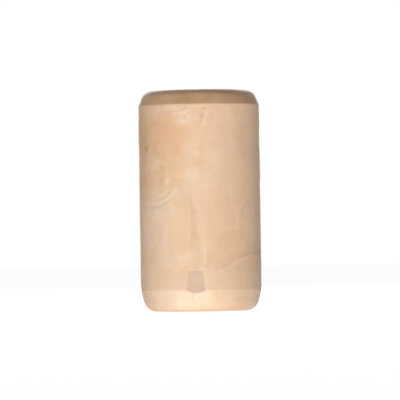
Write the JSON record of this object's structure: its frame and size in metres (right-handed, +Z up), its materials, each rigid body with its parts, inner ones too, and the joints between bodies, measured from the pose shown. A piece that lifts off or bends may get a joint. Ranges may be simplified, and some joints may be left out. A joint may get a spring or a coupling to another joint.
{
  "type": "synthetic wine cork",
  "caption": "Moulded synthetic wine cork: a plain cylinder with a bevel at each end, a shaved gate flat near the foot and a fine parting line.",
  "frame": {"origin": "centre of the foot face, the end nearer the moulding gate, which the cork stands on", "axes": "+Z up the cork's axis towards the head, -Y through the middle of the moulding gate, +X to the right when looking at the gate"},
  "size_m": [0.023, 0.023, 0.042],
  "materials": {
    "foam": "matt tan foamed elastomer with faint marbled flow marks"
  },
  "bodies": {
    "root": {"cork": "foam"}
  },
  "joints": []
}
